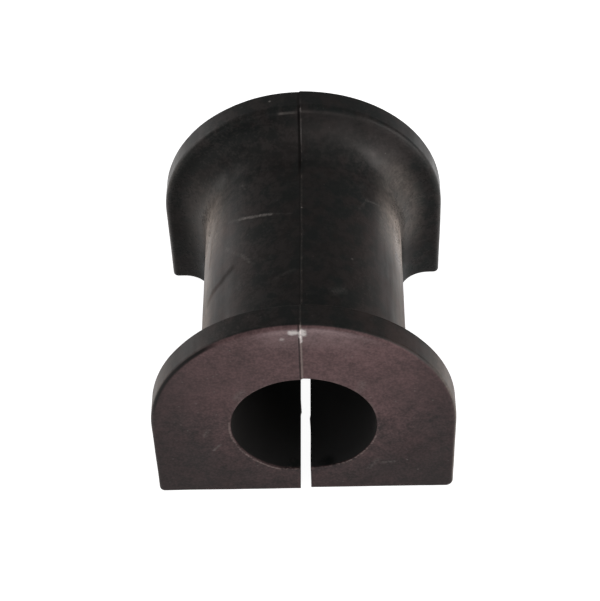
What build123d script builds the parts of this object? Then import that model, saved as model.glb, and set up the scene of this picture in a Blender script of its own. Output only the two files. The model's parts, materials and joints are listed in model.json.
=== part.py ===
from build123d import *
import os
from math import atan, degrees

# Sway bar bushing: one piece of moulded rubber that grips a suspension bar and sits in a
# strap bracket. It is a spool with a D-shaped section. The two end flanges and the waist
# between them share one arch centre, which is the bore axis, and one flat base. A slit
# through the base lets the bushing open over the bar.
# Millimetres. +X runs across, +Y along the bar and +Z up. The origin is the centre of the base.

# The bore, which grips the bar
bore_diameter = 24.0
bore_axis_height = 17.5
bore_mouth_chamfer = 0.3

# The end flanges: a half circle over straight sides
overall_length = 54.0
flange_width = 50.0
flange_thickness = 4.5
outer_edge_chamfer = 0.4
inner_edge_radius = 1.0

# The waist, which the bracket's strap wraps, and the coves that lead into the flanges
waist_width = 34.4
cove_radius = 5.6

# The bevel round the base, apart from the end faces
base_edge_chamfer = 0.5

# The slit from the bore down through the base
slit_width = 1.9

# The fine ridge that the two mould halves leave over the arch and down the end faces
parting_line_width = 0.4
parting_line_height = 0.15

# The largest share of a wall that roundings may take, and how near two sizes are to count as one
rounding_share = 0.95
same_place = 1e-4


def fitted(rounding, wall):
    """The rounding, or what the wall leaves room for."""
    return min(rounding, rounding_share * wall)


def groove_roundings():
    """The radii of the cove and of the flange's inner edge, which share the flange's inner face."""
    inner_face = (flange_width - waist_width) / 2
    cove = fitted(cove_radius, inner_face * cove_radius / (cove_radius + inner_edge_radius))
    edge = fitted(inner_edge_radius, min(inner_face - cove, flange_thickness - outer_edge_chamfer))
    return cove, edge


def lengthwise_section():
    """The spool's section on one side of the bore axis: x is the radius and y runs along the bar."""
    end = overall_length / 2
    inner_face = end - flange_thickness
    rim = flange_width / 2
    waist = waist_width / 2
    section = make_face(
        Polyline(
            (0, -end), (rim, -end), (rim, -inner_face), (waist, -inner_face),
            (waist, inner_face), (rim, inner_face), (rim, end), (0, end),
            close=True,
        )
    )
    cove, edge = groove_roundings()
    groove_corners = section.vertices().filter_by(lambda corner: abs(corner.Y) < end)
    section = fillet(groove_corners.group_by(Axis.X)[0], cove)
    groove_corners = section.vertices().filter_by(lambda corner: abs(corner.Y) < end)
    return fillet(groove_corners.group_by(Axis.X)[-1], edge)


def bore_axis():
    """The line that the arch of the spool and the bore are turned about."""
    return Axis((0, 0, bore_axis_height), (0, 1, 0))


def spool():
    """The arch, turned about the bore axis, over straight sides that end in the flat base."""
    section = Pos(0, 0, bore_axis_height) * lengthwise_section()
    arch = revolve(section, bore_axis(), -180)
    sides = extrude(section + mirror(section, Plane.YZ), bore_axis_height, dir=(0, 0, -1))
    return arch + sides


def end_face_edges(body):
    """The edges round both end faces."""
    faces = body.faces().sort_by(Axis.Y)
    return faces[0].edges() + faces[-1].edges()


def with_broken_edges(body):
    """The spool with the edges of its base and of its end faces bevelled."""
    base_edges = body.faces().sort_by(Axis.Z)[0].edges()
    long_edges = base_edges.filter_by(lambda edge: abs(edge.center().Y) < overall_length / 2 - same_place)
    inner_edge = groove_roundings()[1]
    body = chamfer(long_edges, fitted(base_edge_chamfer, inner_edge))
    return chamfer(end_face_edges(body), outer_edge_chamfer)


def with_bore(body):
    """The body with the bore cut through it and the bore's two mouths bevelled."""
    radius = bore_diameter / 2
    body -= Pos(0, 0, bore_axis_height) * Cylinder(radius, overall_length, rotation=(90, 0, 0))
    circles = end_face_edges(body).filter_by(GeomType.CIRCLE)
    mouths = circles.filter_by(lambda edge: abs(edge.radius - radius) < same_place)
    return chamfer(mouths, bore_mouth_chamfer)


def parting_line():
    """A thin ridge at the top of the arch, from one bore mouth round the section to the other."""
    section = lengthwise_section()
    end_corners = section.vertices().filter_by(lambda corner: corner.X > 0).sort_by(Axis.Y)
    section = chamfer([end_corners[0], end_corners[-1]], outer_edge_chamfer)
    mouth = bore_diameter / 2 + bore_mouth_chamfer
    reach = flange_width - mouth
    outside_bore = Pos(mouth + reach / 2, 0) * Rectangle(reach, overall_length + 2 * reach)
    crest = offset(section, parting_line_height, kind=Kind.INTERSECTION) & outside_bore
    half_angle = degrees(atan(parting_line_width / flange_width))
    start = (Pos(0, 0, bore_axis_height) * crest).rotate(bore_axis(), -90 - half_angle)
    return revolve(start, bore_axis(), 2 * half_angle)


def slit():
    """The gap from inside the bore down through the base, over the whole length."""
    return Box(slit_width, overall_length, bore_axis_height, align=(Align.CENTER, Align.CENTER, Align.MIN))


def bushing():
    """The whole bushing as one solid."""
    return with_bore(with_broken_edges(spool())) + parting_line() - slit()


os.makedirs("parts", exist_ok=True)
export_step(bushing(), "parts/bushing.step")
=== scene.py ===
"""Sway bar bushing: one piece of moulded black rubber on a plain white floor.

The rubber is one closed mesh that stands for the frame's plain solid. Stations run round its
D-shaped section, from one wall of the slit to the other. Rows run lengthwise: out from the bore
over the front face, along the skin, in over the rear face and back through the bore.
The classes hold millimetres, and the meshes are in metres.
"""

import json
import logging
import math
from abc import ABC, abstractmethod
from dataclasses import dataclass, replace
from enum import Enum
from functools import reduce
from typing import Any

import bpy
from mathutils import Matrix, Vector, noise
from mathutils.geometry import delaunay_2d_cdt


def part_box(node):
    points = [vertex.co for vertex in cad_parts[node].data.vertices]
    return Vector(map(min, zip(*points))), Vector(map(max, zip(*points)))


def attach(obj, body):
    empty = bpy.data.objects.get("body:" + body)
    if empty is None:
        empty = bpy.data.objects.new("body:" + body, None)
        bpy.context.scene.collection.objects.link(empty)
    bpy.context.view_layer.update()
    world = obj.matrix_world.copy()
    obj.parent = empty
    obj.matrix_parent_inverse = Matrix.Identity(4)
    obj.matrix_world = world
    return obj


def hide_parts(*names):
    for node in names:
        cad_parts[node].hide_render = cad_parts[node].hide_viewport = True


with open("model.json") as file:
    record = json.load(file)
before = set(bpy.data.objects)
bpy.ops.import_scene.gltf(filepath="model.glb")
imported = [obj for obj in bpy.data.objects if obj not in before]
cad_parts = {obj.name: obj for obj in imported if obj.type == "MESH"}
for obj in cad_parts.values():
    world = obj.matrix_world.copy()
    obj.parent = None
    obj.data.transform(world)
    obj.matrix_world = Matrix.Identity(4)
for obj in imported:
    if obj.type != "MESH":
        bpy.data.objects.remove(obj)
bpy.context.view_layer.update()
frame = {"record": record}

MM = 0.001
# The middle value of a random patch, at which it changes nothing
MIDDLE = 0.5
log = logging.getLogger("bushing_scene")


class Half(Enum):
    """One half of the section, by the sign of its x."""

    LEFT = -1
    RIGHT = 1


class Zone(Enum):
    """The part of the wall that a row belongs to."""

    END_FACE = "end face"
    SKIN = "skin"
    BORE = "bore"


def smooth_step(low: float, high: float, value: float) -> float:
    """A smooth rise from 0 at low to 1 at high, or a fall where low is the larger."""
    share = min(1.0, max(0.0, (value - low) / (high - low)))
    return share * share * (3 - 2 * share)


def spread(start: float, end: float, steps: int) -> list[float]:
    """Evenly spaced values from start to end, both of which are included."""
    return [start + (end - start) * step / steps for step in range(steps + 1)]


@dataclass(frozen=True)
class BushingSizes:
    """The moulding's sizes. The bore, length and flanges come from the frame, the rest is the mould's."""

    bore_radius: float
    axis_height: float
    half_length: float
    rim_radius: float
    mouth_bevel: float = 0.3
    mouth_rounding: float = 0.12
    flange_thickness: float = 4.5
    front_outer_edge_radius: float = 0.7
    rear_outer_edge_radius: float = 0.4
    front_inner_edge_radius: float = 0.3
    rear_inner_edge_radius: float = 1.0
    cove_radius: float = 5.6
    waist_radius: float = 17.4
    base_edge_radius: float = 0.28
    front_left_corner_radius: float = 0.9
    front_right_corner_radius: float = 1.3
    rear_corner_radius: float = 0.5
    full_corner_depth: float = 1.5

    @classmethod
    def from_frame(cls, record: dict[str, Any], node: str) -> "BushingSizes":
        """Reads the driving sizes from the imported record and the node's box.

        Args:
            record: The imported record.
            node: The name of the solid that the box is taken from.

        Returns:
            The sizes in millimetres.
        """
        bore = next(mount for mount in record["mounts"] if mount["name"] == "bar_bore")
        low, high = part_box(node)
        return cls(
            bore_radius=bore["dims"]["r_mm"],
            axis_height=bore["pos_m"][2] / MM,
            half_length=bore["dims"]["length_mm"] / 2 + cls.mouth_bevel,
            rim_radius=(high.x - low.x) / 2 / MM,
        )

    @property
    def inner_face(self) -> float:
        """How far a flange's inner face is from the middle of the length."""
        return self.half_length - self.flange_thickness

    @property
    def mouth_radius(self) -> float:
        """The radius of the bore's mouth at an end face."""
        return self.bore_radius + self.mouth_rounding

    def base_rounding(self, half: Half, along: float) -> float:
        """The radius of the base's edge, which grows to a rounded corner at each end face.

        Args:
            half: The half of the section.
            along: The place along the bar.

        Returns:
            The radius there.
        """
        corner = self.front_left_corner_radius if half is Half.LEFT else self.front_right_corner_radius
        start, end = self.inner_face, self.half_length - self.full_corner_depth
        at_front = (corner - self.base_edge_radius) * smooth_step(start, end, -along)
        at_rear = (self.rear_corner_radius - self.base_edge_radius) * smooth_step(start, end, along)
        return self.base_edge_radius + at_front + at_rear


@dataclass(frozen=True)
class Row:
    """One row of the wall.

    Fields: its zone, its half width, its place along the bar, the outward direction of the skin there
    (across and along), how far an edge rounding draws it in, its share of the way from the bore's mouth
    to the outline, and its place along the bar at the slit, where the base's rows are evened out.
    """

    zone: Zone
    width: float
    along: float
    across_normal: float = 1.0
    along_normal: float = 0.0
    inset: float = 0.0
    reach: float = 1.0
    at_slit: float = 0.0


@dataclass(frozen=True)
class SlitShape:
    """The gap through the base, with a nub on each wall, and the bore's wall drawn up beside it."""

    left_at_bore: float = 0.85
    left_at_base: float = 0.92
    right: float = 0.87
    bore_end_height: float = 5.6
    nub_height: float = 0.16
    nub_spread: float = 0.35
    left_nub_along: float = -10.1
    right_nub_along: float = -16.3
    left_lift: float = 0.6
    left_lift_start: float = 0.9
    right_lift: float = 0.55
    right_lift_start: float = 0.72
    lift_depth: float = 6.0

    def lift(self, half: Half, down: float) -> float:
        """How far the bore's wall is drawn up near the slit.

        Args:
            half: The half of the section that the wall belongs to.
            down: How far down the bore the point lies, from 0 at the axis to 1 at the bottom.

        Returns:
            The lift there.
        """
        start, most = self.left_lift_start, self.left_lift
        if half is Half.RIGHT:
            start, most = self.right_lift_start, self.right_lift
        share = max(0.0, (down - start) / (1 - start))
        return most * share * share

    def half_gap(self, half: Half, height: float) -> float:
        """How far a wall is from the middle of the section.

        Args:
            half: The half of the section that the wall belongs to.
            height: The height above the base.

        Returns:
            The distance from the middle, always positive.
        """
        if half is Half.RIGHT:
            return self.right
        share = min(1.0, max(0.0, height / self.bore_end_height))
        return self.left_at_base + (self.left_at_bore - self.left_at_base) * share

    def nub(self, half: Half, along: float, height: float) -> float:
        """How far the nub on a wall's edge stands out into the gap.

        Args:
            half: The half of the section that the wall belongs to.
            along: The place along the bar.
            height: The height above the base.

        Returns:
            The height of the nub there.
        """
        centre_along = self.left_nub_along if half is Half.LEFT else self.right_nub_along
        centre_height = 0.0 if half is Half.LEFT else self.bore_end_height
        away = math.hypot(along - centre_along, height - centre_height) / self.nub_spread
        return self.nub_height * math.exp(-away * away)


@dataclass(frozen=True)
class Seam:
    """The line where the two mould halves met: a thin ragged flash, with the left half a touch forward."""

    flash_height: float = 0.09
    flash_half_width: float = 0.17
    wander: float = 0.03
    wander_length: float = 5.0
    wander_place: tuple[float, float] = (2.7, 0.4)
    rag_length: float = 0.9
    rag_place: tuple[float, float] = (8.1, 3.3)
    rag_middle: float = 0.65
    rag_swing: float = 0.6
    rag_least: float = 0.1
    fade_angle: float = math.radians(14)
    jog_start: float = 3.2
    jog_end: float = 0.6
    jog: float = 0.3
    jog_return: float = -4.0
    left_forward: float = 0.2
    step_half_width: float = 0.16

    def noise_along(self, row: Row, length: float, place: tuple[float, float]) -> float:
        """Random noise along the line, from -1 to 1: its swings' length, and its own place in the noise."""
        travelled = row.along + (1 - row.reach) * row.width
        return noise.noise(Vector((travelled / length, *place)))

    def course(self, row: Row) -> float:
        """The line's place across the section.

        Args:
            row: The row of the wall.

        Returns:
            How far the line lies to the right of the middle there.
        """
        if row.zone is Zone.BORE:
            return 0.0
        drift = self.wander * self.noise_along(row, self.wander_length, self.wander_place)
        if row.zone is Zone.END_FACE:
            return drift
        jogged = smooth_step(-self.jog_start, -self.jog_end, -row.along)
        returned = smooth_step(-self.jog_end, -self.jog_return, -row.along)
        return drift + self.jog * jogged * (1 - returned)

    def crest(self, row: Row, offset: float) -> float:
        """How far the flash stands out at a distance from its middle line.

        Args:
            row: The row of the wall.
            offset: The distance from the line's middle.

        Returns:
            The height of the flash there.
        """
        if row.zone is Zone.BORE or abs(offset) >= self.flash_half_width:
            return 0.0
        ragged = self.rag_middle + self.rag_swing * self.noise_along(row, self.rag_length, self.rag_place)
        height = self.flash_height * max(self.rag_least, ragged)
        return height * (1 - abs(offset) / self.flash_half_width)

    def shift_along(self, offset: float) -> float:
        """How far the left mould half moves a point along the bar, by its place across the line."""
        return -self.left_forward * smooth_step(-self.step_half_width, self.step_half_width, -offset)


@dataclass(frozen=True)
class LowCorners:
    """The low corners of the rear flange, where it came out of the mould a little thinner."""

    left: float = 0.6
    right: float = 0.25
    height: float = 13.0
    full_across: float = 20.0
    start_across: float = 12.0
    full_depth: float = 1.0
    end_margin: float = 0.5

    def shift_along(self, point: Vector, sizes: BushingSizes) -> float:
        """How far back a point of the flange's inner side lies.

        Args:
            point: The point, in millimetres.
            sizes: The moulding's sizes.

        Returns:
            The shift along the bar.
        """
        most = self.left if point.x < 0 else self.right
        low = smooth_step(self.height, 0.0, point.z)
        outside = smooth_step(self.start_across, self.full_across, abs(point.x))
        inner_face = sizes.inner_face
        rising = smooth_step(inner_face - sizes.cove_radius, inner_face - self.full_depth, point.y)
        falling = smooth_step(sizes.half_length - self.end_margin, inner_face + self.full_depth, point.y)
        return most * low * outside * rising * falling


class Station(ABC):
    """One place round the D-shaped section, where a column of points runs lengthwise."""

    def __init__(self, sizes: BushingSizes, half: Half) -> None:
        """Keeps the sizes and the half of the section that the station is in."""
        self.sizes = sizes
        self.half = half

    @abstractmethod
    def outer(self, row: Row) -> Vector:
        """The point of a row on the outline or the skin."""

    @abstractmethod
    def bore_angle(self, row: Row, radius: float) -> float:
        """The angle from the top, round the bore, that this station has at a radius."""

    def seam_offset(self, point: Vector, row: Row) -> float:
        """How far a point is to the right of the seam; far away, except near the top."""
        return self.half.value * self.sizes.rim_radius

    def around_bore(self, row: Row, radius: float) -> Vector:
        """The point of a row on a circle round the bore's axis.

        Args:
            row: The row of the wall.
            radius: The circle's radius.

        Returns:
            The point.
        """
        angle = self.bore_angle(row, radius)
        height = self.sizes.axis_height + radius * math.cos(angle)
        return Vector((radius * math.sin(angle), row.along, height))

    def point(self, row: Row) -> Vector:
        """Where this station crosses a row.

        Args:
            row: The row of the wall.

        Returns:
            The point, before the flash and the mould's mismatch.
        """
        if row.zone is Zone.BORE:
            return self.around_bore(row, row.width)
        outer = self.outer(row)
        if row.reach >= 1:
            return outer
        return self.around_bore(row, self.sizes.mouth_radius).lerp(outer, row.reach)


class ArchStation(Station):
    """A station on the arch, at an angle from the top or at an offset from the seam."""

    def __init__(self, sizes: BushingSizes, seam: Seam, angle: float, offset: float = 0.0) -> None:
        """Places the station.

        Args:
            sizes: The moulding's sizes.
            seam: The line at the top of the arch.
            angle: The angle from the top, to the right.
            offset: The distance to the right of the seam, for the columns beside it.
        """
        super().__init__(sizes, Half.RIGHT if angle + offset > 0 else Half.LEFT)
        self.seam = seam
        self.angle = angle
        self.offset = offset

    def bore_angle(self, row: Row, radius: float) -> float:
        """The station's angle, drawn sideways where the seam wanders."""
        fade = math.exp(-((self.angle / self.seam.fade_angle) ** 2))
        return self.angle + (self.offset + self.seam.course(row) * fade) / radius

    def outer(self, row: Row) -> Vector:
        """The point at the row's half width round the bore's axis."""
        return self.around_bore(row, row.width - row.inset)

    def seam_offset(self, point: Vector, row: Row) -> float:
        """The distance to the right of the seam's own course."""
        return point.x - self.seam.course(row)


class SideStation(Station):
    """A station on a straight side, at a height above the base."""

    def __init__(self, sizes: BushingSizes, half: Half, height: float) -> None:
        """Places the station at a height."""
        super().__init__(sizes, half)
        self.height = height

    def bore_angle(self, row: Row, radius: float) -> float:
        """The direction of the flange's side at this height, seen from the bore's axis."""
        return self.half.value * math.atan2(self.sizes.rim_radius, self.lifted(row) - self.sizes.axis_height)

    def lifted(self, row: Row) -> float:
        """The station's height, lifted where the corner's rounding reaches higher.

        Args:
            row: The row of the wall.

        Returns:
            The height above the base.
        """
        least = self.sizes.base_edge_radius
        extra = self.sizes.base_rounding(self.half, row.along) - least
        return self.height + extra * (1 - (self.height - least) / (self.sizes.axis_height - least))

    def outer(self, row: Row) -> Vector:
        """The point on the upright side."""
        return Vector((self.half.value * (row.width - row.inset), row.along, self.lifted(row)))


class CornerStation(Station):
    """A station on the small rounding between a side and the base."""

    def __init__(self, sizes: BushingSizes, half: Half, turn: float) -> None:
        """Places the station at a turn down from the side, up to a quarter turn at the base."""
        super().__init__(sizes, half)
        self.turn = turn

    def bore_angle(self, row: Row, radius: float) -> float:
        """The direction of the flange's rounded corner, seen from the bore's axis.

        Args:
            row: The row of the wall.
            radius: The radius in the bore, which makes no difference here.

        Returns:
            The angle from the top.
        """
        rounding = self.sizes.base_rounding(self.half, row.along)
        across = self.sizes.rim_radius - rounding + rounding * math.cos(self.turn)
        height = rounding - rounding * math.sin(self.turn)
        return self.half.value * math.atan2(across, height - self.sizes.axis_height)

    def outer(self, row: Row) -> Vector:
        """The point on the rounding, which turns in the direction that the skin faces.

        Args:
            row: The row of the wall.

        Returns:
            The point.
        """
        rounding = self.sizes.base_rounding(self.half, row.along)
        out = (rounding - row.inset) * math.cos(self.turn) - rounding
        across = row.width + out * row.across_normal
        along = row.along + out * row.along_normal
        height = rounding - (rounding - row.inset) * math.sin(self.turn)
        return Vector((self.half.value * across, along, height))


class BaseStation(Station):
    """A station on the flat base, at a share of the way from the slit to the edge."""

    def __init__(self, sizes: BushingSizes, half: Half, slit: SlitShape, share: float) -> None:
        """Places the station.

        Args:
            sizes: The moulding's sizes.
            half: The half of the section.
            slit: The slit's shape.
            share: The share of the way from the slit, at 0, to the base's edge, at 1.
        """
        super().__init__(sizes, half)
        self.slit = slit
        self.share = share

    def bore_angle(self, row: Row, radius: float) -> float:
        """An angle between the slit's edge in the bore and the direction of the base's edge.

        Args:
            row: The row of the wall.
            radius: The radius at which the slit's edge is met.

        Returns:
            The angle from the top.
        """
        rounding = self.sizes.base_rounding(self.half, row.along)
        edge = math.atan2(self.sizes.rim_radius - rounding, -self.sizes.axis_height)
        height = self.sizes.axis_height - radius
        gap = self.slit.half_gap(self.half, height) - self.slit.nub(self.half, row.along, height)
        at_slit = math.pi - math.asin(gap / radius)
        return self.half.value * (at_slit + (edge - at_slit) * self.share)

    def around_bore(self, row: Row, radius: float) -> Vector:
        """The point of a row round the bore, drawn up near the slit.

        Args:
            row: The row of the wall.
            radius: The radius there.

        Returns:
            The point.
        """
        point = super().around_bore(row, radius)
        near_front = max(0.0, 1 - (self.sizes.half_length + row.along) / self.slit.lift_depth)
        point.z += near_front * self.slit.lift(self.half, (self.sizes.axis_height - point.z) / radius)
        return point

    def outer(self, row: Row) -> Vector:
        """The point on the base, whose rows are evened out towards the slit.

        Args:
            row: The row of the wall.

        Returns:
            The point.
        """
        rounding = self.sizes.base_rounding(self.half, row.along)
        height = row.inset
        edge_across = row.width - rounding * row.across_normal
        edge_along = row.along - rounding * row.along_normal
        along = row.at_slit + (edge_along - row.at_slit) * self.share
        gap = self.slit.half_gap(self.half, height) - self.slit.nub(self.half, along, height)
        return Vector((self.half.value * (gap + (edge_across - gap) * self.share), along, height))


@dataclass(frozen=True)
class WallGrid:
    """How finely the wall is divided: the steps in each stretch, and the spacing by the slit and the seam."""

    face_steps: int = 18
    outer_edge_steps: int = 5
    rim_steps: int = 5
    inner_edge_steps: int = 7
    land_steps: int = 2
    cove_steps: int = 16
    waist_steps: int = 58
    mouth_steps: int = 4
    bore_steps: int = 70
    base_steps: int = 16
    corner_steps: int = 5
    side_steps: int = 26
    arch_steps: int = 72
    seam_clearance: float = math.radians(3.2)
    slit_spacing: float = 0.1
    edge_support: float = 0.08
    seam_offsets: tuple[float, ...] = (0.05, 0.1, 0.16, 0.25, 0.42)
    sharp_angle: float = math.radians(38)
    same_place: float = 1e-5


class BushingWall:
    """The rubber wall: the rows and stations, the points where they cross, and the faces between."""

    def __init__(self, sizes: BushingSizes, seam: Seam, slit: SlitShape, grid: WallGrid) -> None:
        """Keeps the shape's parts and lays out the rows and stations.

        Args:
            sizes: The moulding's sizes.
            seam: The line at the top of the arch.
            slit: The slit's shape.
            grid: How finely the wall is divided.
        """
        self.sizes = sizes
        self.seam = seam
        self.slit = slit
        self.grid = grid
        self.corners = LowCorners()
        self.rows = self.all_rows()
        self.stations = self.all_stations()

    def face_rows(self, outer_edge: float) -> list[Row]:
        """The rows of the front face, from the bore's mouth to where the edge starts to round.

        Args:
            outer_edge: The radius of the face's edge.

        Returns:
            The rows, at rising shares of the way.
        """
        rim, front = self.sizes.rim_radius, -self.sizes.half_length
        support = self.grid.edge_support / (rim - outer_edge - self.sizes.mouth_radius)
        shares = [0.0, support, *spread(0, 1, self.grid.face_steps)[1:-1], 1 - support, 1.0]
        flat = Row(Zone.END_FACE, rim, front, inset=outer_edge, at_slit=front)
        return [replace(flat, reach=share) for share in shares]

    def outer_edge_rows(self, outer_edge: float) -> list[Row]:
        """The rows of the rounding between the front face and the rim.

        Args:
            outer_edge: The rounding's radius.

        Returns:
            The rows, from the face to the rim.
        """
        rows = []
        for turn in spread(0, math.pi / 2, self.grid.outer_edge_steps)[1:]:
            along = -self.sizes.half_length + outer_edge * (1 - math.cos(turn))
            inset = outer_edge * (1 - math.sin(turn))
            rows.append(Row(Zone.SKIN, self.sizes.rim_radius, along, inset=inset))
        return rows

    def rim_rows(self, outer_edge: float, inner_edge: float) -> list[Row]:
        """The rows along a flange's rim, up to its rounded inner edge.

        Args:
            outer_edge: The radius of the end face's edge.
            inner_edge: The radius of the flange's inner edge.

        Returns:
            The rows, from the outer edge to the inner one.
        """
        start = -self.sizes.half_length + outer_edge
        end = -self.sizes.inner_face - inner_edge
        support = self.grid.edge_support
        places = [start + support, *spread(start, end, self.grid.rim_steps)[1:-1], end - support, end]
        return [Row(Zone.SKIN, self.sizes.rim_radius, along) for along in places]

    def inner_edge_rows(self, inner_edge: float) -> list[Row]:
        """The rows of the rounding between the rim and the flange's inner face.

        Args:
            inner_edge: The rounding's radius.

        Returns:
            The rows, from the rim to the inner face.
        """
        rows = []
        for turn in spread(0, math.pi / 2, self.grid.inner_edge_steps)[1:]:
            out, forward = math.cos(turn), math.sin(turn)
            width = self.sizes.rim_radius - inner_edge + inner_edge * out
            along = -self.sizes.inner_face - inner_edge + inner_edge * forward
            rows.append(Row(Zone.SKIN, width, along, out, forward))
        return rows

    def land_rows(self, inner_edge: float) -> list[Row]:
        """The rows of the flat ring on the flange's inner face, between its rounding and the cove.

        Args:
            inner_edge: The radius of the flange's inner edge.

        Returns:
            The rows, from the rounding inwards.
        """
        start = self.sizes.rim_radius - inner_edge
        end = self.sizes.waist_radius + self.sizes.cove_radius
        widths = spread(start, end, self.grid.land_steps)[1:]
        return [Row(Zone.SKIN, width, -self.sizes.inner_face, 0.0, 1.0) for width in widths]

    def cove_rows(self) -> list[Row]:
        """The rows of the hollow that leads from the flange to the waist.

        Returns:
            The rows, from the flange to the waist.
        """
        radius = self.sizes.cove_radius
        rows = []
        for turn in spread(0, math.pi / 2, self.grid.cove_steps)[1:]:
            out, forward = math.sin(turn), math.cos(turn)
            width = self.sizes.waist_radius + radius * (1 - out)
            along = -self.sizes.inner_face + radius * (1 - forward)
            rows.append(Row(Zone.SKIN, width, along, out, forward))
        return rows

    def waist_rows(self) -> list[Row]:
        """The rows of the waist up to the middle of the length.

        Returns:
            The rows, with the middle one at the end.
        """
        start = -self.sizes.inner_face + self.sizes.cove_radius
        places = spread(start, 0, self.grid.waist_steps // 2)[1:]
        return [Row(Zone.SKIN, self.sizes.waist_radius, along) for along in places]

    def mouth_rows(self) -> list[Row]:
        """The rows of the rounding between the rear face and the bore, apart from its two ends.

        Returns:
            The rows, from the face inwards.
        """
        radius = self.sizes.mouth_rounding
        rows = []
        for turn in spread(0, math.pi / 2, self.grid.mouth_steps)[1:-1]:
            width = self.sizes.bore_radius + radius * (1 - math.sin(turn))
            rows.append(Row(Zone.BORE, width, self.sizes.half_length - radius * (1 - math.cos(turn))))
        return rows

    def bore_rows(self) -> list[Row]:
        """The rows of the bore, with the roundings of its mouths.

        Returns:
            The rows, from the rear mouth to the front one.
        """
        end = self.sizes.half_length - self.sizes.mouth_rounding
        places = spread(end, -end, self.grid.bore_steps)
        inside = [Row(Zone.BORE, self.sizes.bore_radius, along) for along in places]
        rear_mouth = self.mouth_rows()
        return [*rear_mouth, *inside, *(self.mirrored(row) for row in reversed(rear_mouth))]

    @staticmethod
    def mirrored(row: Row) -> Row:
        """The same row at the rear end."""
        return replace(row, along=-row.along, along_normal=-row.along_normal, at_slit=-row.at_slit)

    def evened(self, skin: list[Row]) -> list[Row]:
        """The skin's rows with their places at the slit, in step with the base's outline.

        Args:
            skin: The rows from the front face's edge to the rear face's edge.

        Returns:
            The same rows, spaced along the slit by how far each moves along the outline.
        """
        rounding = self.sizes.base_edge_radius
        travelled = [0.0]
        for before, after in zip(skin, skin[1:]):
            step = (after.along - before.along) - rounding * (after.along_normal - before.along_normal)
            inward = abs(after.width - before.width)
            travelled.append(travelled[-1] + abs(step) + self.grid.slit_spacing * inward)
        first = skin[0].along
        length = skin[-1].along - first
        places = (first + length * way / travelled[-1] for way in travelled)
        return [replace(row, at_slit=place) for row, place in zip(skin, places)]

    def end_to_middle(self, outer_edge: float, inner_edge: float) -> list[Row]:
        """The rows from a bore's mouth over its end face and along the skin, up to the middle of the length.

        Args:
            outer_edge: The radius of the end face's edge.
            inner_edge: The radius of the flange's inner edge.

        Returns:
            The rows at the front end, which are mirrored for the rear one.
        """
        return [
            *self.face_rows(outer_edge), *self.outer_edge_rows(outer_edge),
            *self.rim_rows(outer_edge, inner_edge), *self.inner_edge_rows(inner_edge),
            *self.land_rows(inner_edge), *self.cove_rows(), *self.waist_rows(),
        ]

    def all_rows(self) -> list[Row]:
        """Every row of the closed loop.

        Returns:
            The rows, from the front mouth over the skin to the rear one, and back through the bore.
        """
        sizes = self.sizes
        front = self.end_to_middle(sizes.front_outer_edge_radius, sizes.front_inner_edge_radius)
        rear = self.end_to_middle(sizes.rear_outer_edge_radius, sizes.rear_inner_edge_radius)
        rows = [*front, *(self.mirrored(row) for row in reversed(rear[:-1]))]
        face_count = len(self.face_rows(sizes.front_outer_edge_radius)) - 1
        skin = self.evened(rows[face_count:-face_count])
        return [*rows[:face_count], *skin, *rows[-face_count:], *self.bore_rows()]

    def half_stations(self, half: Half) -> list[Station]:
        """The stations of one half, from the slit to where the arch starts.

        Args:
            half: The half of the section.

        Returns:
            The stations on the base, the corner and the side.
        """
        grid, sizes = self.grid, self.sizes
        base = [BaseStation(sizes, half, self.slit, share) for share in spread(0, 1, grid.base_steps)]
        turns = spread(math.pi / 2, 0, grid.corner_steps)[1:-1]
        corner = [CornerStation(sizes, half, turn) for turn in turns]
        heights = spread(sizes.base_edge_radius, sizes.axis_height, grid.side_steps)[:-1]
        side = [SideStation(sizes, half, height) for height in heights]
        return [*base, *corner, *side]

    def all_stations(self) -> list[Station]:
        """Every station, round the section.

        Returns:
            The stations, from the slit's right wall over the arch to its left wall.
        """
        sizes, seam, grid = self.sizes, self.seam, self.grid
        angles = spread(math.pi / 2, grid.seam_clearance, grid.arch_steps)
        right = [ArchStation(sizes, seam, angle) for angle in angles]
        left = [ArchStation(sizes, seam, -angle) for angle in reversed(angles)]
        offsets = [*reversed(grid.seam_offsets), 0.0, *(-offset for offset in grid.seam_offsets)]
        seam_columns = [ArchStation(sizes, seam, 0.0, offset) for offset in offsets]
        left_base = reversed(self.half_stations(Half.LEFT))
        return [*self.half_stations(Half.RIGHT), *right, *seam_columns, *left, *left_base]

    def placed(self, station: Station, row: Row) -> Vector:
        """The final point of a crossing, with the flash and the mould's mismatch.

        Args:
            station: The place round the section.
            row: The row of the wall.

        Returns:
            The point, in millimetres.
        """
        point = station.point(row)
        offset = station.seam_offset(point, row)
        crest = self.seam.crest(row, offset)
        if row.reach < 1:
            point.y += math.copysign(crest, row.along)
        else:
            point += crest * Vector((0.0, row.along_normal, row.across_normal))
        point.y += self.seam.shift_along(offset)
        if row.zone is Zone.SKIN:
            point.y += self.corners.shift_along(point, self.sizes)
        return point

    def mesh(self, name: str) -> bpy.types.Mesh:
        """Builds the closed mesh, in metres.

        Args:
            name: The mesh's name.

        Returns:
            The new mesh, shaded smooth apart from its sharp edges.
        """
        points = [self.placed(station, row) for station in self.stations for row in self.rows]
        count = len(self.rows)
        faces: list[tuple[int, ...]] = []
        for column in range(len(self.stations) - 1):
            for step in range(count):
                after = (step + 1) % count
                near, far = column * count, (column + 1) * count
                faces.append((near + step, near + after, far + after, far + step))
        faces += self.wall_of_slit(points, 0, flipped=True)
        faces += self.wall_of_slit(points, (len(self.stations) - 1) * count, flipped=False)
        mesh = bpy.data.meshes.new(name)
        mesh.from_pydata([point * MM for point in points], [], faces)
        mesh.update()
        mesh.validate()
        mesh.shade_smooth()
        mesh.set_sharp_from_angle(angle=self.grid.sharp_angle)
        return mesh

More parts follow.
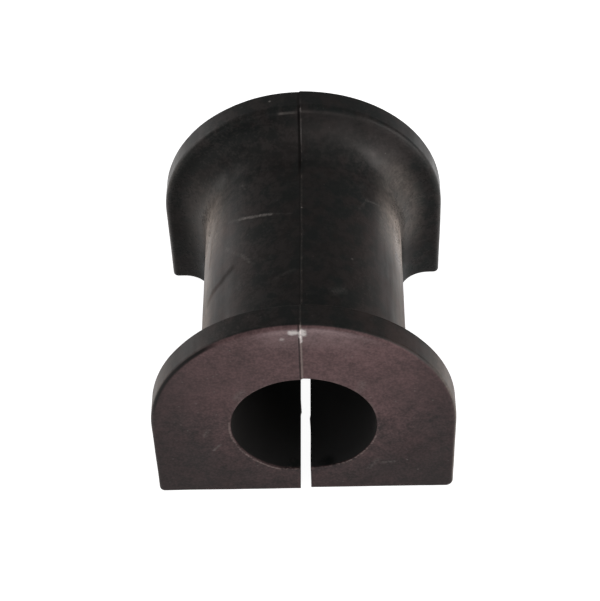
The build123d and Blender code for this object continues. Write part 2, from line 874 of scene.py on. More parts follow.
    def wall_of_slit(self, points: list[Vector], start: int, flipped: bool) -> list[tuple[int, ...]]:
        """The faces that close one end of the grid, which is a wall of the slit.

        Args:
            points: Every point of the grid.
            start: The index of the wall's first point.
            flipped: Whether the faces turn the other way round.

        Returns:
            The triangles between the wall's own points.
        """
        count = len(self.rows)
        outline = [Vector((point.y, point.z)) for point in points[start:start + count]]
        ring = [(step, (step + 1) % count) for step in range(count)]
        inside_only = 1
        made = delaunay_2d_cdt(outline, ring, [], inside_only, self.grid.same_place)
        triangles, sources = made[2], made[3]
        faces = [tuple(start + sources[corner][0] for corner in corners) for corners in triangles]
        return [face[::-1] for face in faces] if flipped else faces


@dataclass(frozen=True)
class Ripple:
    """The slight unevenness of the moulded surface, out along its own normals."""

    depth: float = 0.035
    length: float = 5.5
    fine_depth: float = 0.008
    fine_length: float = 1.1
    base_height: float = 0.05

    def apply(self, mesh: bpy.types.Mesh) -> None:
        """Moves the points of a mesh in metres, apart from those of its flat base.

        Args:
            mesh: The mesh to uneven.
        """
        moved = []
        for vertex in mesh.vertices:
            place = vertex.co / MM
            if place.z < self.base_height:
                moved.append(vertex.co.copy())
                continue
            broad = self.depth * noise.noise(place / self.length)
            fine = self.fine_depth * noise.noise(place / self.fine_length)
            moved.append(vertex.co + vertex.normal * (broad + fine) * MM)
        for vertex, place in zip(mesh.vertices, moved):
            vertex.co = place
        mesh.update()


class Channel:
    """A number that varies over a surface: a node's output, with the arithmetic of plain numbers."""

    def __init__(self, graph: "ShaderGraph", socket: bpy.types.NodeSocket) -> None:
        """Keeps the graph and the socket."""
        self.graph = graph
        self.socket = socket

    def __add__(self, other: "Channel | float") -> "Channel":
        """The sum."""
        return self.graph.maths("ADD", self, other)

    def __radd__(self, other: float) -> "Channel":
        """The sum, with the number first."""
        return self.graph.maths("ADD", other, self)

    def __sub__(self, other: "Channel | float") -> "Channel":
        """The difference."""
        return self.graph.maths("SUBTRACT", self, other)

    def __rsub__(self, other: float) -> "Channel":
        """The difference, with the number first."""
        return self.graph.maths("SUBTRACT", other, self)

    def __mul__(self, other: "Channel | float") -> "Channel":
        """The product."""
        return self.graph.maths("MULTIPLY", self, other)

    def __rmul__(self, other: float) -> "Channel":
        """The product, with the number first."""
        return self.graph.maths("MULTIPLY", other, self)

    def __truediv__(self, other: "Channel | float") -> "Channel":
        """The quotient."""
        return self.graph.maths("DIVIDE", self, other)

    def root(self) -> "Channel":
        """The square root."""
        return self.graph.maths("SQRT", self)

    def size(self) -> "Channel":
        """The value without its sign."""
        return self.graph.maths("ABSOLUTE", self)

    def above(self, other: "Channel | float") -> "Channel":
        """The larger of the two."""
        return self.graph.maths("MAXIMUM", self, other)

    def below(self, other: "Channel | float") -> "Channel":
        """The smaller of the two."""
        return self.graph.maths("MINIMUM", self, other)

    def ramp(self, low: "Channel | float", high: "Channel | float") -> "Channel":
        """A smooth rise from 0 at low to 1 at high, or a fall where low is the larger.

        Args:
            low: The value that gives 0.
            high: The value that gives 1.

        Returns:
            The eased share, from 0 to 1.
        """
        node = self.graph.node(
            "ShaderNodeMapRange",
            {"interpolation_type": "SMOOTHSTEP", "clamp": True},
            {"Value": self, "From Min": low, "From Max": high},
        )
        return Channel(self.graph, node.outputs["Result"])


class ShaderGraph:
    """A material's or world's nodes, added one at a time."""

    CLOUD_ROUGHNESS = 0.55

    def __init__(self, tree: bpy.types.NodeTree) -> None:
        """Takes over a node tree and empties it."""
        self.tree = tree
        tree.nodes.clear()

    @staticmethod
    def find(sockets: Any, key: int | str) -> bpy.types.NodeSocket:
        """A socket by its place, or by its identifier or name.

        Args:
            sockets: A node's inputs or outputs.
            key: The place, identifier or name.

        Returns:
            The first socket that fits.
        """
        if isinstance(key, int):
            return sockets[key]
        return next(socket for socket in sockets if key in (socket.identifier, socket.name))

    def node(
        self, kind: str, settings: dict[str, Any] | None = None, inputs: dict[int | str, Any] | None = None
    ) -> bpy.types.Node:
        """Adds a node.

        Args:
            kind: The node's type.
            settings: Its own settings, which are set first.
            inputs: The values or links of its sockets.

        Returns:
            The new node.
        """
        made = self.tree.nodes.new(kind)
        for name, value in (settings or {}).items():
            setattr(made, name, value)
        for key, value in (inputs or {}).items():
            socket = self.find(made.inputs, key)
            if isinstance(value, Channel):
                value = value.socket
            if isinstance(value, bpy.types.NodeSocket):
                self.tree.links.new(value, socket)
            else:
                socket.default_value = value
        return made

    def maths(self, operation: str, *values: Channel | float) -> Channel:
        """The result of a Math node on one or two values."""
        node = self.node("ShaderNodeMath", {"operation": operation}, dict(enumerate(values)))
        return Channel(self, node.outputs[0])

    def blend(self, share: Channel | float, under: Any, over: Any) -> bpy.types.NodeSocket:
        """Mixes two colours.

        Args:
            share: How much of the upper colour shows.
            under: The colour below, as four numbers or a socket.
            over: The colour above, as four numbers or a socket.

        Returns:
            The mixed colour's socket.
        """
        inputs = {"Factor_Float": share, "A_Color": under, "B_Color": over}
        node = self.node("ShaderNodeMix", {"data_type": "RGBA", "clamp_factor": True}, inputs)
        return self.find(node.outputs, "Result_Color")

    def place_in_mm(self) -> bpy.types.NodeSocket:
        """The point on the surface in the object's own frame, in millimetres."""
        place = self.node("ShaderNodeTexCoord").outputs["Object"]
        return self.vector_maths("SCALE", {0: place, "Scale": 1 / MM}).outputs[0]

    def parts_of(self, vector: bpy.types.NodeSocket) -> tuple[Channel, Channel, Channel]:
        """The three parts of a vector."""
        across, along, up = self.node("ShaderNodeSeparateXYZ", inputs={0: vector}).outputs
        return Channel(self, across), Channel(self, along), Channel(self, up)

    def joined(self, *parts: Channel | float) -> bpy.types.NodeSocket:
        """A vector of three parts."""
        return self.node("ShaderNodeCombineXYZ", inputs=dict(enumerate(parts))).outputs[0]

    def vector_maths(self, operation: str, inputs: dict[int | str, Any]) -> bpy.types.Node:
        """A Vector Math node."""
        return self.node("ShaderNodeVectorMath", {"operation": operation}, inputs)

    def away_from_leg(self, place: bpy.types.NodeSocket, start: Vector, end: Vector) -> Channel:
        """The distance from a place to a straight leg.

        Args:
            place: The place, in millimetres.
            start: One end of the leg.
            end: The other end, which may be the same point.

        Returns:
            The distance to the nearest point of the leg.
        """
        run = end - start
        gone = self.vector_maths("SUBTRACT", {0: place, 1: start}).outputs[0]
        if run.length == 0:
            return Channel(self, self.vector_maths("LENGTH", {0: gone}).outputs[1])
        share = self.vector_maths("DOT_PRODUCT", {0: gone, 1: run / run.length_squared}).outputs[1]
        held = self.node("ShaderNodeClamp", inputs={0: share}).outputs[0]
        nearest = self.vector_maths("SCALE", {0: run, "Scale": held}).outputs[0]
        return Channel(self, self.vector_maths("DISTANCE", {0: gone, 1: nearest}).outputs[1])

    def clouds(self, place: bpy.types.NodeSocket, length: float, detail: float) -> Channel:
        """Soft random patches from 0 to 1: their place and size in millimetres, and their finer layers."""
        inputs = {"Vector": place, "Scale": 1 / length, "Detail": detail, "Roughness": self.CLOUD_ROUGHNESS}
        return Channel(self, self.node("ShaderNodeTexNoise", inputs=inputs).outputs[0])

    def nearest_cell(self, place: bpy.types.NodeSocket, length: float) -> tuple[Channel, Channel]:
        """Scattered cells.

        Args:
            place: The point, in millimetres.
            length: The distance between cells in millimetres.

        Returns:
            The distance to the nearest cell's middle in millimetres, and a number of that cell's own.
        """
        node = self.node("ShaderNodeTexVoronoi", inputs={"Vector": place, "Scale": 1 / length})
        cell = self.node("ShaderNodeSeparateColor", inputs={0: node.outputs["Color"]})
        return Channel(self, node.outputs["Distance"]) * length, Channel(self, cell.outputs[0])


def grey(level: float) -> tuple[float, float, float, float]:
    """A neutral colour."""
    return (level, level, level, 1.0)


@dataclass(frozen=True)
class Fade:
    """A smooth rise over a surface, from 0 at its start to 1 at its end, which may be the lower one.

    In the finishes, a turn is an angle from the top of the arch, and a ring counts from the rim's radius.
    The other places are in millimetres: across, along the bar, or up from the base.
    """

    start: float
    end: float

    @classmethod
    def degrees(cls, start: float, end: float) -> "Fade":
        """A rise between two angles, which are given in degrees."""
        return cls(math.radians(start), math.radians(end))

    def over(self, value: Channel, origin: float = 0.0) -> Channel:
        """The share at a value, where the start and the end count from an origin."""
        return value.ramp(origin + self.start, origin + self.end)


@dataclass(frozen=True)
class Band:
    """A stretch with soft ends: it rises from start to full, and falls from fading to end."""

    start: float
    full: float
    fading: float
    end: float

    @classmethod
    def degrees(cls, *angles: float) -> "Band":
        """A stretch between angles, which are given in degrees."""
        return cls(*(math.radians(angle) for angle in angles))

    def over(self, value: Channel, origin: float = 0.0) -> Channel:
        """The share at a value, where the four places count from an origin."""
        falling = value.ramp(origin + self.end, origin + self.fading)
        return value.ramp(origin + self.start, origin + self.full) * falling


@dataclass(frozen=True)
class Patchiness:
    """Soft random patches: their size in millimetres, their finer layers, and which noise gives 0 and 1."""

    length: float
    layers: float
    low: float = 0.25
    high: float = 0.75

    def over(self, graph: ShaderGraph, place: bpy.types.NodeSocket) -> Channel:
        """The patches over a surface, from 0 to 1."""
        return graph.clouds(place, self.length, self.layers).ramp(self.low, self.high)


@dataclass(frozen=True)
class Unevenness:
    """How a finish follows the random patches that all finishes share.

    Fields: a level of its own, a weight for each size of patch from the largest to the smallest, and the
    value of a patch that changes nothing.
    """

    level: float = 0.0
    patches: float = 0.0
    blush: float = 0.0
    mottle: float = 0.0
    speckle: float = 0.0
    neutral: float = 0.0

    def over(self, at: "SurfacePoint") -> Channel:
        """The level and the weighed patches, added up.

        Args:
            at: The point being shaded.

        Returns:
            The sum, which is not held between 0 and 1.
        """
        weighed = (
            (at.patches, self.patches), (at.blush, self.blush),
            (at.mottle, self.mottle), (at.speckle, self.speckle),
        )
        total: Channel | float = self.level
        for patches, weight in weighed:
            if weight:
                swing = patches - self.neutral if self.neutral else patches
                total = swing * weight + total
        return total


@dataclass(frozen=True)
class Rub:
    """A rubbed mark or a fleck: its course over an unrolled surface, in millimetres, or a single point."""

    course: tuple[tuple[float, float], ...]
    width: float
    strength: float = 1.0

    def mask(self, graph: ShaderGraph, place: bpy.types.NodeSocket) -> Channel:
        """How strongly the mark shows.

        Args:
            graph: The material's nodes.
            place: The place on the unrolled surface.

        Returns:
            The mark's strength on its course, fading to 0 at its width.
        """
        points = [Vector((*point, 0.0)) for point in self.course]
        ends = points[1:] or points
        legs = [graph.away_from_leg(place, start, end) for start, end in zip(points, ends)]
        return reduce(Channel.below, legs).ramp(self.width, 0.0) * self.strength


def joined_masks(graph: ShaderGraph, place: bpy.types.NodeSocket, rubs: tuple[Rub, ...]) -> Channel:
    """The strength of the mark that shows most, of several."""
    return reduce(Channel.above, [rub.mask(graph, place) for rub in rubs])


class SurfacePoint:
    """The point being shaded: its place on the moulding, and the random patches that finishes share.

    The constants are the soft borders of its regions and the patches' sizes, all in millimetres.
    """

    END_FACE = Fade(-0.3, -0.05)
    FRONT = Fade(0.0, -1.0)
    BORE_WALL = Fade(0.12, 0.05)
    RIGHT_OF_SLIT = Fade(-0.2, 0.2)
    RIGHT_SIDE = Fade(-5.0, 5.0)
    PATCHES = Patchiness(6.0, 3.0)
    BLUSH = Patchiness(2.6, 1.0)
    MOTTLE = Patchiness(1.1, 2.0)
    SPECKLE = Patchiness(0.42, 1.0, low=0.3)

    def __init__(self, graph: ShaderGraph, sizes: BushingSizes, slit: SlitShape) -> None:
        """Works out the place in the section, round the arch and on the front face.

        Args:
            graph: The material's nodes.
            sizes: The moulding's sizes.
            slit: The slit's shape, with the lift of the bore's wall beside it.
        """
        self.graph = graph
        self.sizes = sizes
        self.place = graph.place_in_mm()
        self.across, self.along, self.up = graph.parts_of(self.place)
        self.rise = self.up - sizes.axis_height
        self.radius = (self.across * self.across + self.rise * self.rise).root()
        above = self.rise.above(0.0)
        self.half_width = (self.across * self.across + above * above).root()
        angle = graph.maths("ARCTAN2", self.across, self.rise)
        self.turned = angle.size()
        self.arc = angle * sizes.waist_radius
        self.skin_plane = graph.joined(self.arc, self.along, 0.0)
        self.face_plane = graph.joined(self.across, self.up, 0.0)
        self.to_right = self.RIGHT_SIDE.over(self.across)
        self.end = self.END_FACE.over(self.along.size(), sizes.half_length)
        self.front = self.FRONT.over(self.along) * self.end
        self.from_axis = self.radius + self.lift_by(slit)
        self.bore = self.BORE_WALL.over(self.from_axis, sizes.bore_radius)
        self.skin = (1 - self.end) * (1 - self.bore)
        self.patches = self.PATCHES.over(graph, self.place)
        self.blush = self.BLUSH.over(graph, self.place)
        self.mottle = self.MOTTLE.over(graph, self.place)
        self.speckle = self.SPECKLE.over(graph, self.place)

    def lift_by(self, slit: SlitShape) -> Channel:
        """How far the bore's wall is drawn up at this point, so that its marks follow it.

        Args:
            slit: The slit's shape.

        Returns:
            The lift there.
        """
        down = (0 - self.rise) / self.radius
        left, right = down.ramp(slit.left_lift_start, 1.0), down.ramp(slit.right_lift_start, 1.0)
        on_right = self.RIGHT_OF_SLIT.over(self.across)
        lift = left * left * slit.left_lift * (1 - on_right) + right * right * slit.right_lift * on_right
        front = -self.sizes.half_length
        return lift * self.along.ramp(front + slit.lift_depth, front)


@dataclass(frozen=True)
class FaceBloomAndPaintedLight:
    """The pinkish bloom of the end faces, thicker round the bore and thin low down; it grows towards the top
    as a painted reflection of the lit floor.

    The mouth's ring counts from the bore's radius, and the lip's width from the middle of the lip.
    """

    colour: tuple[float, float, float, float] = (0.175, 0.103, 0.105, 1.0)
    climb: Fade = Fade(4.0, 44.0)
    least: float = 0.11
    climb_share: float = 0.59
    mouth_ring: Fade = Fade(7.0, 1.0)
    mouth_share: float = 0.1
    sides_start: float = 14.0
    sides_fade: float = 0.5
    left_level: float = 0.94
    rightward: Fade = Fade(-12.0, 12.0)
    right_share: float = 0.16
    clouding: Unevenness = Unevenness(patches=0.25, blush=0.2, mottle=0.25, speckle=0.4, neutral=MIDDLE)
    low_down: Fade = Fade(28.0, 16.0)
    low_clouding: float = 0.8
    bare_clouding: float = 0.08

    # Painted highlight along the front face's top edge, stronger beside the seam.
    top_edge_highlight_colour: tuple[float, float, float, float] = (0.30, 0.215, 0.218, 1.0)
    top_edge_highlight_height: Fade = Fade(30.0, 36.0)
    top_edge_highlight_breakup: Unevenness = Unevenness(level=0.8, blush=0.3, speckle=0.3, neutral=MIDDLE)
    edge_ring: Fade = Fade(-0.45, -1.2)
    edge_band_ring: Fade = Fade(-2.2, -1.32)
    edge_band_across: Band = Band(-9.0, -4.0, 9.0, 15.0)
    edge_band_share: float = 0.3
    seam_ring: Fade = Fade(-7.0, -0.8)
    seam_across: Band = Band(-9.5, -1.5, 3.0, 13.0)
    seam_share: float = 0.7

    # The pale lip round the mouth: partly a thin flash lip, partly a painted highlight of the mouth's edge.
    lip_and_highlight_colour: tuple[float, float, float, float] = (0.20, 0.15, 0.14, 1.0)
    lip_offset: float = 0.1
    lip_width: Fade = Fade(0.24, 0.05)
    lip_wear: Unevenness = Unevenness(blush=0.6, speckle=0.5)
    lip_worn: Fade = Fade(0.25, 0.85)
    lip_over_top: float = 0.3
    lip_low_down: Fade = Fade(29.0, 14.0)

    def share(self, at: SurfacePoint) -> Channel:
        """How much of the rubber's own black the bloom hides, with its painted reflection growing towards the
        top.

        Args:
            at: The point being shaded.

        Returns:
            The bloom's share, 0 away from the end faces.
        """
        # Painted reflection: the bloom climbs towards the top, where the face reflects more of the lit floor.
        climb = self.climb.over(at.up) * self.climb_share + self.least
        near_mouth = self.mouth_ring.over(at.radius, at.sizes.bore_radius) * self.mouth_share
        sides = at.across.size().ramp(self.sides_start, at.sizes.rim_radius) * self.sides_fade
        sideways = self.left_level + self.rightward.over(at.across) * self.right_share
        even = (climb + near_mouth) * (1 - sides) * sideways
        clouding = self.clouding.over(at) * (1 + self.low_down.over(at.up) * self.low_clouding)
        return (even * (1 + clouding) + clouding * self.bare_clouding).above(0.0) * at.end

    def top_edge_highlight_share(self, at: SurfacePoint) -> Channel:
        """How much painted highlight lies along the face's top edge, and more of it beside the seam.

        Args:
            at: The point being shaded.

        Returns:
            The paler colour's share, 0 away from the top of the front face.
        """
        rim = at.sizes.rim_radius
        edge_band = self.edge_band_ring.over(at.radius, rim) * self.edge_band_across.over(at.across)
        by_seam = self.seam_ring.over(at.radius, rim) * self.seam_across.over(at.across)
        painted_highlight = edge_band * self.edge_band_share + by_seam * self.seam_share
        top = self.edge_ring.over(at.radius, rim) * self.top_edge_highlight_height.over(at.up) * at.front
        return painted_highlight * self.top_edge_highlight_breakup.over(at) * top

    def lip_and_highlight_share(self, at: SurfacePoint) -> Channel:
        """How much the thin pale lip round the bore's mouth shows, partly flash and partly a painted
        highlight of its edge: worn in places, thinner over the top.

        Args:
            at: The point being shaded.

        Returns:
            The lip's share, 0 away from the mouth.
        """
        off = (at.from_axis - (at.sizes.mouth_radius + self.lip_offset)).size()
        worn = self.lip_worn.over(self.lip_wear.over(at))
        low_down = self.lip_over_top + (1 - self.lip_over_top) * self.lip_low_down.over(at.up)
        return self.lip_width.over(off) * at.end * worn * low_down


@dataclass(frozen=True)
class SeamShadingAndChalk:
    """Painted shade and painted highlight on the two sides of the seam's flash, and the chalky spots where it
    tops the face.

    The widths of the painted shade and highlight count from their own middle lines.
    """

    above_bore: Fade = Fade(29.0, 30.0)
    half_width: float = 0.2
    core: float = 0.03

    # Painted shade on the shaded left side of the seam's flash, wider on the cove.
    seam_shade: tuple[float, float, float, float] = (0.006, 0.005, 0.005, 1.0)
    seam_shade_across: float = -0.22
    seam_shade_on_face: float = 0.85
    seam_shade_on_skin: float = 0.5
    wide_seam_shade: Fade = Fade(0.38, 0.12)
    wide_along: Fade = Fade(12.0, 17.0)
    # Painted shade along the front face's outer edge, down its upper left.
    edge_ring: Fade = Fade(-0.75, -0.35)
    edge_across: Fade = Fade(-12.0, -15.5)
    edge_height: Fade = Fade(20.0, 24.0)

    # Painted highlight on the lit right side of the seam's flash, broken into beads.
    seam_highlight: tuple[float, float, float, float] = (0.20, 0.168, 0.15, 1.0)
    seam_highlight_across: float = 0.12
    seam_highlight_spread: float = 0.6
    seam_highlight_on_face: float = 0.6
    seam_highlight_on_skin: float = 0.15
    beads: Patchiness = Patchiness(1.3, 1.0, low=0.54, high=0.68)
    waist_line: float = 0.07
    waist_along: Fade = Fade(15.0, 11.0)

    chalk: tuple[float, float, float, float] = (0.72, 0.66, 0.64, 1.0)
    raggedness: Unevenness = Unevenness(level=0.5, mottle=0.4, speckle=0.5)
    chalk_cover: Fade = Fade(0.0, 1.05)
    spots: tuple[Rub, ...] = (
        Rub(((-1.35, 40.95), (-0.9, 41.0)), 0.95, 1.2),
        Rub(((0.35, 40.95), (0.45, 40.45)), 1.0, 1.35),
        Rub(((-0.2, 40.9), (0.14, 39.8)), 0.5, 1.0),
        Rub(((0.14, 40.2), (0.16, 38.6)), 0.4, 0.75),
        Rub(((-2.83, 39.4),), 0.85, 0.45),
    )

    def seam_and_edge_shade_share(self, at: SurfacePoint) -> Channel:
        """How much painted shade lies beside the seam, and on the front face's outer edge down its upper
        left.

        Args:
            at: The point being shaded.

        Returns:
            The larger of the two painted shades' shares.
        """
        off = (at.across - self.seam_shade_across).size()
        strength = at.end * self.seam_shade_on_face + (1 - at.end) * self.seam_shade_on_skin
        narrow = off.ramp(self.half_width, self.core) * strength
        wide = self.wide_seam_shade.over(off) * self.wide_along.over(at.along)
        seam_shade = narrow.above(wide) * self.above_bore.over(at.up) * (1 - at.bore)
        ring = self.edge_ring.over(at.radius, at.sizes.rim_radius) * self.edge_across.over(at.across)
        return seam_shade.above(ring * at.front * self.edge_height.over(at.up))

    def seam_highlight_share(self, at: SurfacePoint) -> Channel:
        """How much painted highlight shows on the lit right side of the seam's flash: all down the front
        face, and here and there on the skin.

        Args:
            at: The point being shaded.

        Returns:
            The painted highlight's share.
        """
        width = self.half_width * (1 + self.seam_highlight_spread * at.end * at.speckle)
        off = (at.across - self.seam_highlight_across).size()
        line = off.ramp(width, self.core) * self.above_bore.over(at.up) * (1 - at.bore)
        beads = self.beads.over(at.graph, at.graph.joined(0.0, at.along, at.up))
        on_skin = beads * self.seam_highlight_on_skin + self.waist_along.over(at.along) * self.waist_line
        return line * (at.end * self.seam_highlight_on_face + (1 - at.end) * on_skin)

    def chalk_share(self, at: SurfacePoint) -> Channel:
        """How much the chalky spots at the top of the front face show."""
        spots = joined_masks(at.graph, at.face_plane, self.spots)
        return self.chalk_cover.over(spots * self.raggedness.over(at)) * at.front


@dataclass(frozen=True)
class Fleck:
    """A fleck of dust: where it lies, in the piece's own frame, and the share of it that is full."""

    place: tuple[float, float, float]
    radius: float = 0.3
    core: float = 0.3

    def mask(self, at: SurfacePoint) -> Channel:
        """How strongly the fleck shows."""
        middle = Vector(self.place)
        return at.graph.away_from_leg(at.place, middle, middle).ramp(self.radius, self.radius * self.core)


@dataclass(frozen=True)
class Handling:
    """Light scuffs, flecks of dust and one dark wipe, on the skin and on the front face."""

    pale: tuple[float, float, float, float] = (0.20, 0.18, 0.17, 1.0)
    breaks: Unevenness = Unevenness(level=0.2, mottle=0.5, speckle=0.7)
    skin_rubs: tuple[Rub, ...] = (
        Rub(((-14.0, 7.9), (-11.3, 6.9)), 0.45, 0.2),
        Rub(((-11.4, 6.95), (-8.3, 5.9), (-5.2, 5.3)), 0.48, 0.85),
        Rub(((-5.2, 5.3), (-1.7, 4.7)), 0.35, 0.08),
        Rub(((-14.3, 1.9), (-12.3, -0.5), (-10.4, -2.2)), 0.55, 0.13),
        Rub(((-10.4, -2.2), (-9.1, -4.1)), 0.6, 0.24),
        Rub(((-4.2, -9.6), (-1.1, -8.2)), 0.55, 0.1),
        Rub(((-11.0, 14.9), (-10.3, 13.5)), 0.35, 0.18),
        Rub(((12.0, 11.3), (15.3, 12.3)), 0.4, 0.22),
        Rub(((10.5, 8.5), (12.4, 11.8)), 0.4, 0.08),
        Rub(((5.4, -12.4), (7.0, -11.6)), 1.3, 0.14),
        Rub(((8.86, -4.1),), 0.32, 0.5),
        Rub(((0.13, 5.95),), 0.25, 0.7),
    )
    face_rubs: tuple[Rub, ...] = (
        Rub(((-15.1, 11.5), (-13.9, 13.0)), 0.35, 0.45),
        Rub(((-16.3, 15.4), (-15.8, 16.7)), 0.7, 0.25),
        Rub(((-10.6, 25.2), (-9.6, 26.6)), 1.1, 0.3),
        Rub(((12.8, 7.2), (14.9, 7.45)), 0.45, 0.35),
        Rub(((10.7, 5.7), (12.2, 8.1)), 0.7, 0.25),
        Rub(((9.2, 26.0), (9.6, 28.2)), 1.1, 0.2),
        Rub(((-13.35, 31.2),), 0.28, 0.4),
        Rub(((-6.1, 29.65),), 0.28, 0.5),
        Rub(((-17.2, 24.0),), 0.35, 0.3),
        Rub(((17.1, 7.9),), 0.25, 0.5),
        Rub(((6.25, 2.0),), 0.25, 0.4),
        Rub(((5.3, 2.3),), 0.25, 0.35),
    )
    flecks: tuple[Fleck, ...] = (
        Fleck((-4.99, 17.7, 34.0)),
        Fleck((-5.24, 24.88, 41.94)),
        Fleck((3.05, 22.65, 42.25)),
        Fleck((14.67, 22.1, 31.8)),
    )
    fleck_share: float = 0.8
    speck_spacing: float = 1.0
    speck_size: Fade = Fade(0.22, 0.06)
    speck_chance: Fade = Fade(0.88, 0.92)
    specks_on_face: float = 0.4
    specks_on_skin: float = 0.1
    wipes: tuple[Rub, ...] = (
        Rub(((-12.9, -3.7), (-15.5, -4.8), (-18.4, -5.2), (-19.8, -6.0)), 1.2, 0.9),
        Rub(((-17.1, 10.8), (-19.3, 8.0), (-20.2, 2.4)), 0.8, 0.6),
        Rub(((-12.5, 20.2), (-14.5, 17.6), (-17.5, 15.6)), 1.8, 0.5),
    )

    def pale_share(self, at: SurfacePoint) -> Channel:
        """How much the pale marks show, broken up by the grain.

        Args:
            at: The point being shaded.

        Returns:
            The share of the scuffs, flecks and specks together.
        """
        skin = joined_masks(at.graph, at.skin_plane, self.skin_rubs) * at.skin
        face = joined_masks(at.graph, at.face_plane, self.face_rubs) * at.front
        flecks = reduce(Channel.above, [fleck.mask(at) for fleck in self.flecks])
        away, chance = at.graph.nearest_cell(at.place, self.speck_spacing)
        specks = self.speck_size.over(away) * self.speck_chance.over(chance)
        specks = specks * (at.front * self.specks_on_face + at.skin * self.specks_on_skin)
        return (skin + face) * self.breaks.over(at) + flecks * self.fleck_share + specks

    def wipe_share(self, at: SurfacePoint) -> Channel:
        """How much the dark wipe dulls the left of the waist."""
        return joined_masks(at.graph, at.skin_plane, self.wipes) * at.skin


@dataclass(frozen=True)
class SkinDustAndPaintedLight:
    """The dust on the skin in soft patches, with painted light on the rear flange's inner side, stronger to
    the right, and paler high in its cove.
    """

    colour: tuple[float, float, float, float] = (0.068, 0.059, 0.057, 1.0)
    clouding: Unevenness = Unevenness(blush=0.35, mottle=0.35, speckle=0.3)
    clouded: Fade = Fade(0.3, 0.72)
    most: float = 0.17
    right_level: float = 0.6
    leftward: Fade = Fade(5.0, -10.0)
    left_share: float = 0.8
    side_grain: Unevenness = Unevenness(mottle=0.5, speckle=0.8, neutral=MIDDLE)
    side_turn: Fade = Fade.degrees(18, 45)
    side_share: float = 0.2

    # Painted light on the rear flange's inner side, which the lamps leave darker, stronger to the right.
    flange_along: Fade = Fade(20.0, 22.3)
    flange_height: Fade = Fade(26.0, 33.5)
    flange_level: float = 0.12
    flange_rightward: Fade = Fade(-6.0, 9.0)
    flange_right_share: float = 0.85
    flange_ring: Fade = Fade(-0.3, -0.9)
    flange_breakup: Unevenness = Unevenness(level=0.3, patches=0.5)

    cove_along: Band = Band(9.0, 19.0, 20.5, 22.5)
    cove_height: Fade = Fade(28.0, 33.5)
    cove_share: float = 0.17
    cove_breakup: Unevenness = Unevenness(level=0.7, mottle=0.6)

    def share(self, at: SurfacePoint) -> Channel:
        """How much dust clouds the skin, with the painted light on the rear flange's inner side.

        Args:
            at: The point being shaded.

        Returns:
            The share of dust and painted light, 0 away from the skin.
        """
        sideways = self.right_level + self.leftward.over(at.across) * self.left_share
        on_skin = self.clouded.over(self.clouding.over(at)) * self.most * sideways
        on_sides = self.side_grain.over(at) * self.side_turn.over(at.turned) * self.side_share
        in_cove = self.cove_along.over(at.along) * self.cove_height.over(at.up) * self.cove_share
        in_cove = in_cove * self.cove_breakup.over(at)
        return (on_skin + on_sides + self.painted_light_on_rear_flange(at) + in_cove).above(0.0) * at.skin

    def painted_light_on_rear_flange(self, at: SurfacePoint) -> Channel:
        """How much painted light lies on the rear flange's inner side, which has more to the right.

        Args:
            at: The point being shaded.

        Returns:
            The painted light's share there.
        """
        rightward = self.flange_rightward.over(at.across) * self.flange_right_share
        level = self.flange_level + rightward
        where = self.flange_along.over(at.along) * self.flange_height.over(at.up)
        inner_side = self.flange_ring.over(at.half_width, at.sizes.rim_radius)
        return where * level * inner_side * self.flange_breakup.over(at)


@dataclass(frozen=True)
class SideBloomAndHighlight:
    """A reddish bloom in soft patches on the sides of the waist and on the front flange's rim, partly a
    painted warm highlight where those sides reflect the lit floor.
    """

    colour: tuple[float, float, float, float] = (0.100, 0.060, 0.052, 1.0)
    patchiness: Unevenness = Unevenness(level=0.08, patches=0.12, blush=0.12)
    waist_turn: Fade = Fade.degrees(18, 52)
    waist_along: Band = Band(-22.0, -20.0, 4.0, 14.0)
    right_level: float = 0.6
    leftward: Fade = Fade(6.0, -6.0)
    left_share: float = 0.4
    rim_ring: Fade = Fade(-0.8, -0.2)
    rim_along: Fade = Fade(-10.0, -15.0)
    rim_turn: Fade = Fade.degrees(8, 40)
    rim_level: float = 0.8

    def share(self, at: SurfacePoint) -> Channel:
        """How much of the bloom and its painted highlight lies at a point.

        Args:
            at: The point being shaded.

        Returns:
            The bloom's share, 0 away from the skin.
        """
        sideways = self.right_level + self.leftward.over(at.across) * self.left_share
        waist = self.waist_turn.over(at.turned) * self.waist_along.over(at.along) * sideways
        rim = self.rim_ring.over(at.half_width, at.sizes.rim_radius) * self.rim_along.over(at.along)
        rim = rim * self.rim_turn.over(at.turned) * self.rim_level
        return (waist + rim) * self.patchiness.over(at) * at.skin


@dataclass(frozen=True)
class PaintedEdgeHighlight:
    """The painted highlight along the rear flange's inner edge near its top, with one brighter streak.

    The edge's own place counts from the flange's inner face.
    """

    # Painted highlight along the rounding of the rear flange's inner edge.
    ring: Band = Band(-1.35, -1.05, -0.85, -0.55)
    rear: Fade = Fade(0.0, 1.0)
    up_to_edge: Fade = Fade(1.5, 1.0)
    stretch: Band = Band(-6.0, -4.0, 3.0, 10.0)
    stretch_breakup: Unevenness = Unevenness(level=0.04, blush=0.1)
    streak: Band = Band(-4.2, -3.0, -2.0, -0.6)
    streak_breakup: Unevenness = Unevenness(level=0.2, mottle=0.3)

    def share(self, at: SurfacePoint) -> Channel:
        """How much painted highlight lies on the edge at a point.

        Args:
            at: The point being shaded.

        Returns:
            The pale colour's share, 0 away from the edge.
        """
        edge = self.ring.over(at.radius, at.sizes.rim_radius) * self.rear.over(at.along)
        edge = edge * self.up_to_edge.over(at.along, at.sizes.inner_face)
        stretch = self.stretch.over(at.across) * self.stretch_breakup.over(at)
        return edge * (stretch + self.streak.over(at.across) * self.streak_breakup.over(at))


